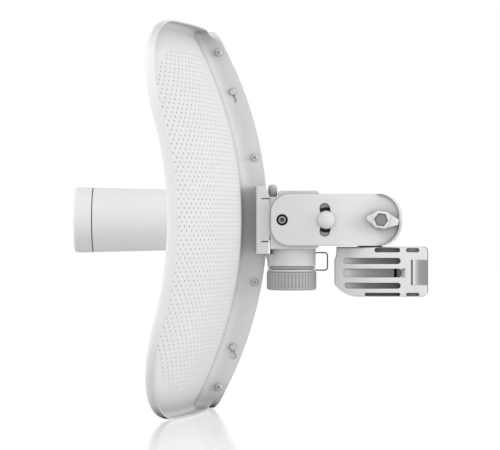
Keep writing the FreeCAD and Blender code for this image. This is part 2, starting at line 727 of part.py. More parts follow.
def make_cap_tether():
    """The wire bail: upper leg in the neck's guide slot, lower leg in the swivel ring."""
    inner_x = NECK_X + NECK_R
    corner = 2.6
    top = TETHER_TOP_Z
    low = TETHER_BOTTOM_Z
    half = corner * (1 - math.sqrt(0.5))
    path = Part.Wire([
        Part.makeLine(Vector(inner_x - 1.6, 0, top), Vector(TETHER_X - corner, 0, top)),
        Part.Arc(
            Vector(TETHER_X - corner, 0, top),
            Vector(TETHER_X - half, 0, top - half),
            Vector(TETHER_X, 0, top - corner),
        ).toShape(),
        Part.makeLine(Vector(TETHER_X, 0, top - corner), Vector(TETHER_X, 0, low + corner)),
        Part.Arc(
            Vector(TETHER_X, 0, low + corner),
            Vector(TETHER_X - half, 0, low + half),
            Vector(TETHER_X - corner, 0, low),
        ).toShape(),
        Part.makeLine(Vector(TETHER_X - corner, 0, low), Vector(inner_x - 0.2, 0, low)),
    ])
    section = Part.Wire([Part.makeCircle(TETHER_R, Vector(inner_x - 1.6, 0, top), X)])
    return path.makePipeShell([section], True, False)


def make_port_cap():
    top = neck(CAP_TOP_Z)
    bottom = neck(CAP_BOTTOM_Z)
    cup = rod(CAP_R, bottom, top)
    cup = cup.makeFillet(2.6, [e for e in cup.Edges if abs(e.CenterOfMass.z - CAP_BOTTOM_Z) < 0.01])
    cup = cup.cut(rod(SPIGOT_R + 0.1, neck(CAP_BOTTOM_Z + 6.4), top))
    cup = cup.cut(rod(GROMMET_R, bottom, neck(CAP_BOTTOM_Z + 7)))
    ribs = []
    for k in range(CAP_RIBS):
        angle = 2 * math.pi * k / CAP_RIBS
        at = Vector(NECK_X + (CAP_R + 0.25) * math.cos(angle), (CAP_R + 0.25) * math.sin(angle), 0)
        ribs.append(rod(0.75, Vector(at.x, at.y, CAP_BOTTOM_Z + 2.6), Vector(at.x, at.y, CAP_TOP_Z - 1.4)))
    return cup.cut(ribs)


def make_cable_grommet():
    low = neck(CAP_BOTTOM_Z)
    stem = rod(GROMMET_R, low, neck(CAP_BOTTOM_Z + 6.4))
    collar = rod(GROMMET_R + 4, neck(CAP_BOTTOM_Z + 6.4), neck(SPIGOT_BOTTOM_Z - 0.2))
    return stem.fuse(collar).cut(rod(CABLE_R, low - Z, neck(0)))


# ---------------------------------------------------------------- arm


def arm_plate_face():
    """One cheek of the fork, seen from the side: a bar with rounded ends."""
    z0 = AXIS_Z - ARM_HALF_Z
    z1 = AXIS_Z + ARM_HALF_Z
    shape = box(ARM_X0, ARM_X1, 0, 1, z0, z1)
    for end_x, radius in ((ARM_X0, ARM_LEFT_R), (ARM_X1, ARM_END_R)):
        along = [e for e in shape.Edges if abs(e.tangentAt(0).y) > 0.99]
        corners = [e for e in along if abs(e.CenterOfMass.x - end_x) < 0.01]
        shape = shape.makeFillet(radius, corners)
    return [f for f in shape.Faces if abs(f.CenterOfMass.y) < 0.01][0]


def arc_slot(half_width):
    """The curved slot around the pivot, as a cutter through one cheek."""
    ring = tube(SLOT_R + half_width, SLOT_R - half_width, level(PIVOT_X, 20), level(PIVOT_X, 40))
    reach = 80.0
    angle = math.radians(SLOT_HALF_DEG)
    wedge = prism([
        (PIVOT_X, 20, AXIS_Z),
        (PIVOT_X + reach, 20, AXIS_Z - reach * math.tan(angle)),
        (PIVOT_X + reach, 20, AXIS_Z + reach * math.tan(angle)),
    ], Y * 20)
    ends = []
    for s in (-1, 1):
        x = PIVOT_X + SLOT_R * math.cos(angle)
        z = AXIS_Z + s * SLOT_R * math.sin(angle)
        ends.append(rod(half_width, Vector(x, 20, z), Vector(x, 40, z)))
    return ring.common(wedge).fuse(ends)


def pocket():
    """The sunk area round the wing knob: an easy slope from the left, a crescent rim at the right."""
    top = ARM_OUTER_Y + 0.01
    low = AXIS_Z - 40
    start = Vector(POCKET_X0, top, low)
    end = Vector(POCKET_X0 + POCKET_SLOPE, POCKET_FLOOR_Y, low)
    slope = Part.BezierCurve()
    slope.setPoles([start, start + X * POCKET_SLOPE * 0.4, end - X * POCKET_SLOPE * 0.4, end])
    corners = [end, Vector(-20.0, POCKET_FLOOR_Y, low), Vector(-20.0, top, low), start]
    sides = [Part.makeLine(a, b) for a, b in zip(corners, corners[1:])]
    ramp = Part.Face(Part.Wire([slope.toShape()] + sides)).extrude(Z * 80)
    inside = arm_plate_face()
    inside.translate(Vector(-RIM_SHIFT, 20, 0))
    return ramp.common(inside.extrude(Y * 20))


def cheek():
    """One side wall of the fork with all its holes, on the +Y side."""
    face = arm_plate_face()
    plate = face.copy()
    plate.translate(Vector(0, ARM_INNER_Y, 0))
    plate = plate.extrude(Y * (ARM_OUTER_Y - ARM_INNER_Y))
    inner = face.copy()
    inner.translate(Vector(0, TONGUE_HALF_Y + 0.4, 0))
    inner = inner.extrude(Y * (ARM_OUTER_Y - TONGUE_HALF_Y - 0.4))
    inner = inner.common(box(-84.0, -20, 0, 40, -100, 200))
    shape = plate.fuse(inner).removeSplitter()
    shape = round_edges(shape, 1.0, lambda c: abs(c.y - ARM_OUTER_Y) < 0.01)
    shape = shape.cut([
        pocket(),
        arc_slot(SLOT_HALF_W),
        rod(PIVOT_SEAT_R, level(PIVOT_X, PIVOT_SEAT_Y), level(PIVOT_X, 40)),
        rod(PIVOT_SHOULDER_R + RUNNING, level(PIVOT_X, 20), level(PIVOT_X, 40)),
        rod(CLAMP_BOLT_R + RUNNING, level(WING_X, 10), level(WING_X, 40)),
    ])
    return shape


def make_arm():
    far = cheek()
    near = far.mirror(Vector(0, 0, 0), Y)
    nut_pocket = hexagon(10.2, level(WING_X, POCKET_FLOOR_Y - 2.4), Y * 20)
    bridge = box(BRIDGE_X0, BRIDGE_X1, -ARM_INNER_Y - 1, ARM_INNER_Y + 1, AXIS_Z - 17, AXIS_Z + 17)
    return far.cut(nut_pocket).fuse([near, bridge]).removeSplitter()


def make_clamp_bolt():
    def at(y):
        return level(WING_X, y)
    head = hexagon(M6_FLATS, at(-36.0), Y * 3.0)
    bolt = head.fuse(rod(CLAMP_BOLT_R, at(-33.0), at(33.0)))
    bolt.rotate(at(0), Y, WING_ANGLE)
    return bolt


def make_wing_washer():
    outer_y = -POCKET_FLOOR_Y - 1.4
    return tube(7.0, CLAMP_BOLT_R + RUNNING, level(WING_X, outer_y), level(WING_X, outer_y + 1.2))


def wing_outline(points, front_y, back_y, radius):
    """A prism along Y over a mirrored outline, with softened upright edges and front rim."""
    outline = points + tuple((x, -z) for x, z in points[::-1])
    shape = prism([(WING_X + x, front_y, AXIS_Z + z) for x, z in outline], Y * (back_y - front_y))
    shape = shape.makeFillet(radius, [e for e in shape.Edges if abs(e.tangentAt(0).y) > 0.99])
    return round_edges(shape, 1.0, lambda c: abs(c.y - front_y) < 0.01)


def make_wing_knob():
    """A two-winged grip pressed over the hexagonal bolt head. Its wings stand clear of the arm."""
    body = wing_outline(WING_OUTLINE, WING_FRONT_Y, WING_BACK_Y, 1.2)
    body = body.fuse(wing_outline(HUB_OUTLINE, HUB_FRONT_Y, WING_BACK_Y, 1.2))
    low = level(WING_X, HUB_FRONT_Y)
    base = rod(7.2, level(WING_X, WING_BACK_Y - 0.5), level(WING_X, -POCKET_FLOOR_Y - 1.6))
    mouth = hexagon(M6_FLATS + 0.9, low - Y, Y * 3.6)
    recess = hexagon(M6_FLATS, low - Y, Y * 5.4)
    shank = rod(CLAMP_BOLT_R, low, low + Y * 12)
    knob = body.fuse(base).cut([mouth, recess, shank])
    knob.rotate(low, Y, WING_ANGLE)
    return knob


def make_clamp_nut():
    at = level(WING_X, POCKET_FLOOR_Y - 2.3)
    return hexagon(M6_FLATS, at, Y * 5.0).cut(rod(CLAMP_BOLT_R + RUNNING, at - Y, at + Y * 9))


# ---------------------------------------------------------------- pole clamp


def block_plan(end_x):
    """Half of the clamp block seen from above, wide at the pole and with a round nose towards the dish."""
    tip = Vector(end_x, math.sqrt(POLE_R ** 2 - end_x ** 2), 0)
    saddle_mid = POLE_R * math.sqrt(0.5)
    nose = Vector(BLOCK_X0, NOSE_HALF_Y, 0)
    shoulder = Vector(SHOULDER_X, BLOCK_HALF_Y, 0)
    return Part.Face(Part.Wire([
        Part.makeLine(Vector(BLOCK_X0, 0, 0), nose),
        Part.Arc(nose, Vector(-80, 22.5, 0), shoulder).toShape(),
        Part.makeLine(shoulder, Vector(end_x, BLOCK_HALF_Y, 0)),
        Part.makeLine(Vector(end_x, BLOCK_HALF_Y, 0), tip),
        Part.Arc(tip, Vector(-saddle_mid, saddle_mid, 0), Vector(-POLE_R, 0, 0)).toShape(),
        Part.makeLine(Vector(-POLE_R, 0, 0), Vector(BLOCK_X0, 0, 0)),
    ]))


def block_side(end_x):
    """The clamp block seen from the side, with its cut-back nose and rounded outer corners."""
    r = BLOCK_CORNER_R
    half = r * (1 - math.sqrt(0.5))
    top = BLOCK_TOP_Z
    low = BLOCK_BOTTOM_Z

    def at(x, z):
        return Vector(x, 0, z)
    return Part.Face(Part.Wire([
        Part.makeLine(at(-94.0, top), at(-94.0, 14.5)),
        Part.makeLine(at(-94.0, 14.5), at(BLOCK_X0, 10.0)),
        Part.makeLine(at(BLOCK_X0, 10.0), at(BLOCK_X0, -11.5)),
        Part.Arc(at(BLOCK_X0, -11.5), at(-88.5, -18.6), at(-72.0, low)).toShape(),
        Part.makeLine(at(-72.0, low), at(end_x - r, low)),
        Part.Arc(at(end_x - r, low), at(end_x - half, low + half), at(end_x, low + r)).toShape(),
        Part.makeLine(at(end_x, low + r), at(end_x, top - r)),
        Part.Arc(at(end_x, top - r), at(end_x - half, top - half), at(end_x - r, top)).toShape(),
        Part.makeLine(at(end_x - r, top), at(-94.0, top)),
    ]))


def block_half(end_x):
    """One half of the clamp block, on the +Y side, with its long rims rounded."""
    plan = block_plan(end_x)
    plan.translate(Vector(0, 0, BLOCK_BOTTOM_Z))
    half = plan.extrude(Z * (BLOCK_TOP_Z - BLOCK_BOTTOM_Z)).common(block_side(end_x).extrude(Y * 40))
    rims = [
        e for e in half.Edges
        if min(abs(e.CenterOfMass.z - z) for z in (BLOCK_TOP_Z, BLOCK_BOTTOM_Z)) < 0.01
        and e.CenterOfMass.y > 22 and e.Length > 10
    ]
    return half.makeFillet(1.5, rims)


def groove(x0, x1, z0, z1, depth):
    """A pair of round-ended grooves, one in each side of the block."""
    radius = (z1 - z0) / 2 - 0.01
    cutters = []
    for side in (-1, 1):
        y0 = side * (BLOCK_HALF_Y - depth)
        y1 = side * (BLOCK_HALF_Y + 5)
        cutter = box(x0, x1, min(y0, y1), max(y0, y1), z0, z1)
        edges = [e for e in cutter.Edges if abs(e.tangentAt(0).y) > 0.99]
        cutters.append(cutter.makeFillet(min(radius, 2.6), edges))
    return cutters


def make_pole_clamp():
    block = block_half(FAR_JAW_X).fuse(block_half(BLOCK_X1).mirror(Vector(0, 0, 0), Y))
    cutters = [cutter for place in GROOVES for cutter in groove(*place)]
    path = tube(STRAP_R + STRAP_HALF_T, STRAP_R - STRAP_HALF_T, Z * STRAP_Z[0], Z * STRAP_Z[1])
    strap = path.common(box(-60, -30, -40, 40, -30, 30))
    notch_x, notch_z0, notch_z1 = NOTCH
    notch = box(notch_x, FAR_JAW_X, -40, 0, notch_z0, notch_z1)
    nose_groove = box(BLOCK_X0 - 1, BLOCK_X0 + 7.4, -2.6, 2.6, -40, 40)
    core = box(-84, -52, -9, 9, BLOCK_BOTTOM_Z - 1, BLOCK_TOP_Z - 5)
    at = level(WING_X, 0)
    ears = []
    for side in (-1, 1):
        y0 = side * TONGUE_INNER_Y
        y1 = side * TONGUE_HALF_Y
        ear = rod(TONGUE_R, at + Y * y0, at + Y * y1)
        post = box(WING_X - TONGUE_R, WING_X + 2.0, min(y0, y1), max(y0, y1), BLOCK_TOP_Z - 6, AXIS_Z)
        ears.append(ear.fuse(post))
    bolt_hole = rod(CLAMP_BOLT_R + RUNNING, at - Y * 40, at + Y * 40)
    block = block.cut(cutters + [strap, notch, nose_groove, core])
    return block.fuse(ears).cut(bolt_hole).removeSplitter()


def main():
    os.makedirs("parts", exist_ok=True)
    washer, nut = make_lock_washer_and_nut()
    parts = {
        "reflector_near": make_reflector_near(),
        "reflector_far": make_reflector_far(),
        "alignment_studs": make_alignment_studs(),
        "seam_screws": make_seam_screws(),
        "seam_nuts": make_seam_nuts(),
        "feed_tube": make_feed_tube(),
        "feed_cap": make_feed_cap(),
        "subreflector": make_subreflector(),
        "radiator": make_radiator(),
        "radio_board": make_radio_board(),
        "shield_cans": make_shield_cans(),
        "board_chips": make_board_chips(),
        "thermal_pad": make_thermal_pad(),
        "heat_spreader": make_heat_spreader(),
        "saddle": make_saddle(),
        "rear_housing": make_rear_housing(),
        "housing_gasket": front_gasket(0),
        "pivot_screws": make_pivot_screws(),
        "pivot_washers": make_pivot_washers(),
        "tilt_lock_bolt": make_tilt_lock_bolt(),
        "lock_sleeve": make_lock_sleeve(),
        "tilt_lock_washer": washer,
        "tilt_lock_nut": nut,
        "lock_screw": make_lock_screw(),
        "lock_screw_washer": make_lock_screw_washer(),
        "ethernet_jack": make_ethernet_jack(),
        "jack_contacts": make_jack_contacts(),
        "reset_button": make_reset_button(),
        "reset_switch": make_reset_switch(),
        "status_light_pipe": make_status_light_pipe(),
        "seal_ring": make_seal_ring(),
        "swivel_ring": make_swivel_ring(),
        "cap_tether": make_cap_tether(),
        "port_cap": make_port_cap(),
        "cable_grommet": make_cable_grommet(),
        "arm": make_arm(),
        "clamp_bolt": make_clamp_bolt(),
        "wing_washer": make_wing_washer(),
        "wing_knob": make_wing_knob(),
        "clamp_nut": make_clamp_nut(),
        "pole_clamp": make_pole_clamp(),
    }
    for name, shape in parts.items():
        shape.exportStep("parts/" + name + ".step")
        solids = len(shape.Solids)
        print(name, "solids", solids, "valid", shape.isValid(), "volume", round(shape.Volume, 1))


main()
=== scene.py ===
import json
import math

import bmesh
import bpy
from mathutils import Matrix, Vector
from mathutils.geometry import delaunay_2d_cdt


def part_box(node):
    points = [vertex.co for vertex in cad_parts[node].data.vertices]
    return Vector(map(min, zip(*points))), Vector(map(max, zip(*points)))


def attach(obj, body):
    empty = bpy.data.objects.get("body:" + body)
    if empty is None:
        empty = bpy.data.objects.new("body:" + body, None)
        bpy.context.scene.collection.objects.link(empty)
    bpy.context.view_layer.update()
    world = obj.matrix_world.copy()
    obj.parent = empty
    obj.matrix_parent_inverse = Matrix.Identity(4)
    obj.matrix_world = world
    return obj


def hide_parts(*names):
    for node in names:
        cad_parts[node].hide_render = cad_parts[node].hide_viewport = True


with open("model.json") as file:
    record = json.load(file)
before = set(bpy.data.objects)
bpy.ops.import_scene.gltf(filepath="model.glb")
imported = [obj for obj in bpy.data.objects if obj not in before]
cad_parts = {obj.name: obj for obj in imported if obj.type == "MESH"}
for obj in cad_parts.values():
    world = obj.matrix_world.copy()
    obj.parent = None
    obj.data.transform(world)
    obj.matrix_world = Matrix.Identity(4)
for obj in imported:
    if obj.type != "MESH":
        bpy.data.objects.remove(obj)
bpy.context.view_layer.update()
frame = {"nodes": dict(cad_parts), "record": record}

MM = 0.001

# Reflector, in metres. The sheet's visible back, which faces the pole, is the inside of a tray.
NEAR_LOW, NEAR_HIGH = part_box("reflector_near")
HALF_Y = -NEAR_LOW.y
HALF_Z = (NEAR_HIGH.z - NEAR_LOW.z) / 2
AXIS_Z = (NEAR_HIGH.z + NEAR_LOW.z) / 2
SHEET = 1.2 * MM
APEX_X = -179.0 * MM
FOUR_F = 632.0 * MM
CORNER_R = 85.0 * MM
RIM_DEPTH = 9.6 * MM
RIM_FILLET = 7.0 * MM
WALL_Y = HALF_Y - SHEET
WALL_Z = HALF_Z - SHEET
BOWL_Z = WALL_Z - RIM_FILLET

# Seam flange, and its step outwards past the saddle's spine
BEND_U = 14.0 * MM
BEND_HEIGHT = 11.0 * MM
FLANGE_R = 331.0 * MM
FLANGE_X = -156.5 * MM
CHAMFER_Z = 155.5 * MM
NEAR_CORNER_X = -211.7 * MM
FAR_CORNER_X = -206.5 * MM
NEAR_BULGE = -1.2 * MM
FAR_BULGE = 2.0 * MM
TAPER_HALF_Y = 90.0 * MM
JOGGLE = 3.0 * MM
JOGGLE_FULL_Z = 24.0 * MM
JOGGLE_NONE_Z = 42.0 * MM

# Perforation: every other cell of a grid has a hole
PITCH_Y = 3.7 * MM
PITCH_Z = 3.8 * MM
GRID_START_U = BEND_U + 2.0 * MM
GRID_MARGIN = 0.4 * MM
HOLE_R = 0.8 * MM
HOLE_SIDES = 8
HOLE_RIM_MARGIN = 11.0 * MM
HOLE_END_MARGIN = 24.0 * MM
HOLE_SEAM_MARGIN = 6.0 * MM

# Keyholes of the near flange
STUD_LOW, STUD_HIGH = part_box("alignment_studs")
STUD_R = 3.1 * MM
STUD_X = (STUD_LOW.x + STUD_HIGH.x) / 2
STUD_HEIGHTS = (STUD_HIGH.z - STUD_R, STUD_LOW.z + STUD_R)
KEYHOLE_DROP = 7.6 * MM
KEYHOLE_R = 3.3 * MM
KEYHOLE_SLOT = 1.7 * MM

# Steps of the curves, and tolerances in metres
STRAIGHT_STEPS = 30
CORNER_STEPS = 30
FOLD_STEPS = 10
SEAM_STEPS = 80
FILLET_STEPS = 6
WALL_STEPS = 3
FLANGE_STEPS = 6
ENTRY_STEPS = 14
SLOT_STEPS = 6
TINY = 1e-9
SINGLE_PRECISION = 1e-6
SAME_PLACE = 1e-7
SHEET_SMOOTH = 40
CAD_SMOOTH = 30


# ---------------------------------------------------------------- mesh helpers


class Builder:
    """Collects vertices and faces, and shares vertices that lie at the same place."""

    def __init__(self):
        self.points = []
        self.faces = []
        self.index = {}

    def vertex(self, point):
        key = tuple(round(c * 1e7) for c in point)
        if key not in self.index:
            self.index[key] = len(self.points)
            self.points.append(point)
        return self.index[key]

    def face(self, points):
        ids = []
        for p in points:
            i = self.vertex(p)
            if i not in ids:
                ids.append(i)
        if len(ids) > 2:
            self.faces.append(ids)

    def object(self, name):
        mesh = bpy.data.meshes.new(name)
        mesh.from_pydata([tuple(p) for p in self.points], [], self.faces)
        mesh.validate()
        obj = bpy.data.objects.new(name, mesh)
        bpy.context.scene.collection.objects.link(obj)
        return obj


def recalculate_normals(obj):
    bm = bmesh.new()
    bm.from_mesh(obj.data)
    bmesh.ops.recalc_face_normals(bm, faces=bm.faces)
    bm.to_mesh(obj.data)
    bm.free()


def apply_modifiers(obj):
    """Bake the object's modifiers into its mesh."""
    graph = bpy.context.evaluated_depsgraph_get()
    mesh = bpy.data.meshes.new_from_object(obj.evaluated_get(graph), depsgraph=graph)
    obj.modifiers.clear()
    obj.data = mesh


def smooth(obj, degrees):
    """Smooth shading that keeps edges sharper than the angle."""
    for p in obj.data.polygons:
        p.use_smooth = True
    obj.data.set_sharp_from_angle(angle=math.radians(degrees))


def in_loop(p, loop):
    """True if a point lies inside a closed polygon."""
    inside = False
    for (x0, z0), (x1, z1) in zip(loop, loop[1:] + loop[:1]):
        if (z0 > p[1]) != (z1 > p[1]) and p[0] < (x1 - x0) * (p[1] - z0) / (z1 - z0) + x0:
            inside = not inside
    return inside


def fill(loops, extra=()):
    """Triangles inside the first closed loop and outside the others, through the extra points."""
    points = []
    edges = []
    for loop in loops:
        first = len(points)
        points += [Vector(p) for p in loop]
        edges += [(first + k, first + (k + 1) % len(loop)) for k in range(len(loop))]
    points += [Vector(p) for p in extra]
    verts, _, faces = delaunay_2d_cdt(points, edges, [], 0, TINY)[:3]
    out = []
    for f in faces:
        centre = (sum(verts[k].x for k in f) / 3, sum(verts[k].y for k in f) / 3)
        if in_loop(centre, loops[0]) and not any(in_loop(centre, h) for h in loops[1:]):
            out.append([tuple(verts[k]) for k in f])
    return out


# ---------------------------------------------------------------- reflector


def bowl_x(u, z):
    """X of the sheet's back face, u out from the seam and z up from the dish axis."""
    return APEX_X - (u * u + z * z) / FOUR_F


def joggle(z):
    """How far each flange steps out to pass the flat spine of the saddle."""
    t = (abs(z) - JOGGLE_FULL_Z) / (JOGGLE_NONE_Z - JOGGLE_FULL_Z)
    t = min(1.0, max(0.0, t))
    return JOGGLE * (1 - t * t * (3 - 2 * t))


def flange_edge_x(z, corner_x, bulge):
    """X of the seam flange's free edge: an arc, then a bulging line to the corner."""
    centre = FLANGE_X - FLANGE_R
    if abs(z) <= CHAMFER_Z:
        return centre + math.sqrt(FLANGE_R ** 2 - z * z)
    start = centre + math.sqrt(FLANGE_R ** 2 - CHAMFER_Z ** 2)
    share = (abs(z) - CHAMFER_Z) / (HALF_Z - CHAMFER_Z)
    return start + (corner_x - start) * share + bulge * math.sin(math.pi * share)


def inside_outline(u, z, side_inset, end_inset):
    """True if the point lies inside the dish outline less an inset at its side and its ends."""
    half_y = HALF_Y - side_inset
    half_z = HALF_Z - end_inset
    radius = CORNER_R - side_inset
    over_u = u - (half_y - radius)
    over_z = abs(z) - (half_z - radius)
    if over_u > 0 and over_z > 0:
        return math.hypot(over_u, over_z) < radius
    return u < half_y and abs(z) < half_z


def tray_loops():
    """Pairs of points round one half: where the bowl meets its fillet, and on the wall outside."""
    radius = CORNER_R - SHEET
    centre_u = WALL_Y - radius
    centre_z = WALL_Z - radius
    quarter = []
    for k in range(STRAIGHT_STEPS):
        z = centre_z * k / STRAIGHT_STEPS
        quarter.append(((WALL_Y - RIM_FILLET, z), (WALL_Y, z)))
    for k in range(CORNER_STEPS):
        angle = math.pi / 2 * k / CORNER_STEPS
        c, s = math.cos(angle), math.sin(angle)
        inner = radius - RIM_FILLET
        quarter.append(((centre_u + inner * c, centre_z + inner * s),
                        (centre_u + radius * c, centre_z + radius * s)))
    for k in range(STRAIGHT_STEPS):
        u = centre_u + (BEND_U - centre_u) * k / STRAIGHT_STEPS
        quarter.append(((u, BOWL_Z), (u, WALL_Z)))
    for k in range(FOLD_STEPS + 1):
        angle = math.pi / 2 * k / FOLD_STEPS
        u = BEND_U - (BEND_U - SHEET) * math.sin(angle)
        quarter.append(((BEND_U, BOWL_Z), (u, BOWL_Z + RIM_FILLET * math.cos(angle))))
    seam = []
    for k in range(1, SEAM_STEPS):
        z = BOWL_Z - 2 * BOWL_Z * k / SEAM_STEPS
        seam.append(((BEND_U, z), (SHEET + joggle(z), z)))
    mirrored = [((a[0], -a[1]), (b[0], -b[1])) for a, b in quarter[::-1]]
    return quarter + seam + mirrored[:-1]


def grid_corner(i, j):
    """The perforation grid's corner with these indices, as (u, z)."""
    return (GRID_START_U + i * PITCH_Y, j * PITCH_Z)


def has_hole(i, j, u, z):
    """True if the cell with this index and centre is punched."""
    if (i + j) % 2 or u < BEND_U + HOLE_SEAM_MARGIN:
        return False
    return inside_outline(u, z, HOLE_RIM_MARGIN, HOLE_END_MARGIN)


def punched_field(build, place):
    """Adds the bowl's cells, every other one with a round hole, and returns their indices."""
    columns = int(HALF_Y / PITCH_Y)
    rows = int(HALF_Z / PITCH_Z)
    inset = SHEET + RIM_FILLET + GRID_MARGIN
    quarter = HOLE_SIDES // 4
    full = set()
    for i in range(columns):
        for j in range(-rows, rows):
            corners = [grid_corner(i + a, j + b) for a, b in ((1, 1), (0, 1), (0, 0), (1, 0))]
            if not all(inside_outline(u, z, inset, inset) for u, z in corners):
                continue
            full.add((i, j))
            cu = (corners[0][0] + corners[1][0]) / 2
            cz = (corners[0][1] + corners[2][1]) / 2
            if not has_hole(i, j, cu, cz):
                build.face([place(u, z) for u, z in corners])
                continue
            ring = []
            for k in range(HOLE_SIDES):
                angle = 2 * math.pi * k / HOLE_SIDES
                ring.append((cu + HOLE_R * math.cos(angle), cz + HOLE_R * math.sin(angle)))
            for s in range(4):
                first = quarter // 2 + s * quarter
                rim = [ring[(first + k) % HOLE_SIDES] for k in range(quarter + 1)]
                outline = [corners[s], corners[(s + 1) % 4]] + rim[::-1]
                build.face([place(u, z) for u, z in outline])
    return full


def stair_edges(full):
    """Boundary edges of the block of full cells, as pairs of grid indices."""
    edges = set()
    for i, j in full:
        for a, b in (((i, j), (i + 1, j)), ((i + 1, j), (i + 1, j + 1)),
                     ((i + 1, j + 1), (i, j + 1)), ((i, j + 1), (i, j))):
            if (b, a) in edges:
                edges.remove((b, a))
            else:
                edges.add((a, b))
    return edges


def ordered_loop(edges):
    """Joins directed edges into one closed loop of grid indices."""
    after = dict(edges)
    start = min(after)
    loop = [start]
    while after[loop[-1]] != start:
        loop.append(after[loop[-1]])
    return loop


def keyhole_outline(z):
    """The keyhole as a closed loop in the flange: a round entry with a slot up to the stud."""
    entry = z - KEYHOLE_DROP
    reach = math.asin(KEYHOLE_SLOT / KEYHOLE_R)
    loop = []
    for k in range(ENTRY_STEPS + 1):
        angle = math.pi / 2 + reach + (2 * math.pi - 2 * reach) * k / ENTRY_STEPS
        loop.append((STUD_X + KEYHOLE_R * math.cos(angle), entry + KEYHOLE_R * math.sin(angle)))
    for k in range(SLOT_STEPS + 1):
        angle = math.pi * k / SLOT_STEPS
        loop.append((STUD_X + KEYHOLE_SLOT * math.cos(angle), z + KEYHOLE_SLOT * math.sin(angle)))
    return loop


def wall_back_x(u, z, corner_x, bulge):
    """X of the back edge of the rim wall or of the seam flange."""
    if u < BEND_U and abs(z) < WALL_Z - SINGLE_PRECISION:
        return flange_edge_x(z, corner_x, bulge)
    end_x = flange_edge_x(WALL_Z, corner_x, bulge)
    extra = end_x - bowl_x(BEND_U, WALL_Z) - RIM_DEPTH
    taper = 0.0
    if abs(z) > HALF_Z - CORNER_R / 2:
        taper = max(0.0, 1 - max(0.0, u - BEND_U) / TAPER_HALF_Y)
    return bowl_x(u, z) + RIM_DEPTH + extra * taper


def fillet_point(a, b, height, t):
    """A point of the curve from the bowl to the wall, as (x, u, z)."""
    p0 = (bowl_x(*a), a[0], a[1])
    p1 = (bowl_x(*b), b[0], b[1])
    p2 = (p1[0] + height, b[0], b[1])
    return tuple((1 - t) ** 2 * q0 + 2 * t * (1 - t) * q1 + t * t * q2
                 for q0, q1, q2 in zip(p0, p1, p2))


def rim_columns(pairs, side, corner_x, bulge):
    """Columns of points up the fillet, and up the wall except along the seam flange."""
    columns = []
    for a, b in pairs:
        on_seam = b[0] < BEND_U - TINY and abs(b[1]) < WALL_Z - TINY
        share = (BEND_U - b[0]) / (BEND_U - SHEET) if on_seam else 0.0
        height = RIM_FILLET + (BEND_HEIGHT - RIM_FILLET) * min(1.0, share)
        column = [fillet_point(a, b, height, k / FILLET_STEPS) for k in range(FILLET_STEPS + 1)]
        if not (on_seam and abs(b[1]) < BOWL_Z - SINGLE_PRECISION):
            x0 = column[-1][0]
            x1 = wall_back_x(b[0], b[1], corner_x, bulge)
            for k in range(1, WALL_STEPS + 1):
                column.append((x0 + (x1 - x0) * k / WALL_STEPS, b[0], b[1]))
        columns.append([Vector((x, side * u, AXIS_Z + z)) for x, u, z in column])
    return columns


def seam_flange(pairs, columns, corner_x, bulge, keyholes):
    """Triangles of the broad flange beside the seam, between its two corners, as (x, z) points."""
    near_line = []
    for column in columns:
        tip = column[FILLET_STEPS]
        z = tip.z - AXIS_Z
        if abs(z) <= BOWL_Z + SINGLE_PRECISION and abs(tip.y) < BEND_U - SINGLE_PRECISION:
            near_line.append((tip.x, z))
    near_line.sort(key=lambda p: p[1])
    x0 = near_line[-1][0]
    x1 = flange_edge_x(BOWL_Z, corner_x, bulge)
    end_xs = [x0 + (x1 - x0) * k / WALL_STEPS for k in range(1, WALL_STEPS + 1)]
    seam_z = [b[1] for _, b in pairs if b[0] < BEND_U - TINY and abs(b[1]) <= BOWL_Z + TINY]
    loop = near_line + [(x, BOWL_Z) for x in end_xs]
    loop += [(flange_edge_x(z, corner_x, bulge), z) for z in sorted(seam_z)[::-1][1:-1]]
    loop += [(x, -BOWL_Z) for x in end_xs[::-1]]
    holes = [keyhole_outline(z - AXIS_Z) for z in STUD_HEIGHTS] if keyholes else []
    extra = []
    for x0, z in near_line[1:-1]:
        x1 = flange_edge_x(z, corner_x, bulge)
        for k in range(1, FLANGE_STEPS):
            p = (x0 + (x1 - x0) * k / FLANGE_STEPS, z)
            if not any(in_loop(p, h) for h in holes):
                extra.append(p)
    return fill([loop] + holes, extra)


def reflector_half(name, side, corner_x, bulge, keyholes):
    """One punched and folded half of the dish."""
    build = Builder()

    def place(u, z):
        return Vector((bowl_x(u, z), side * u, AXIS_Z + z))

    full = punched_field(build, place)
    pairs = tray_loops()
    inner = []
    for a, _ in pairs:
        if not inner or math.dist(inner[-1], a) > SAME_PLACE:
            inner.append(a)
    stairs = [grid_corner(*g) for g in ordered_loop(stair_edges(full))]
    for face in fill([inner, stairs]):
        build.face([place(u, z) for u, z in face])

    columns = rim_columns(pairs, side, corner_x, bulge)
    for first, second in zip(columns, columns[1:] + columns[:1]):
        for k in range(min(len(first), len(second)) - 1):
            build.face([first[k], first[k + 1], second[k + 1], second[k]])
    for face in seam_flange(pairs, columns, corner_x, bulge, keyholes):
        build.face([Vector((x, side * (SHEET + joggle(z)), AXIS_Z + z)) for x, z in face])

    obj = build.object(name)
    thicken(obj, Vector((1, side, 0)))
    smooth(obj, SHEET_SMOOTH)
    return obj


def thicken(obj, outward):
    """Gives the sheet thickness behind its outward side, with its cut edges in a second slot."""
    for name in ("sheet_face", "sheet_edge"):
        obj.data.materials.append(bpy.data.materials.new(name))
    recalculate_normals(obj)
    if sum(p.normal.dot(outward) * p.area for p in obj.data.polygons) < 0:
        obj.data.flip_normals()
    solid = obj.modifiers.new("solid", "SOLIDIFY")
    solid.thickness = SHEET
    solid.offset = -1
    solid.use_even_offset = True
    solid.material_offset_rim = 1
    apply_modifiers(obj)


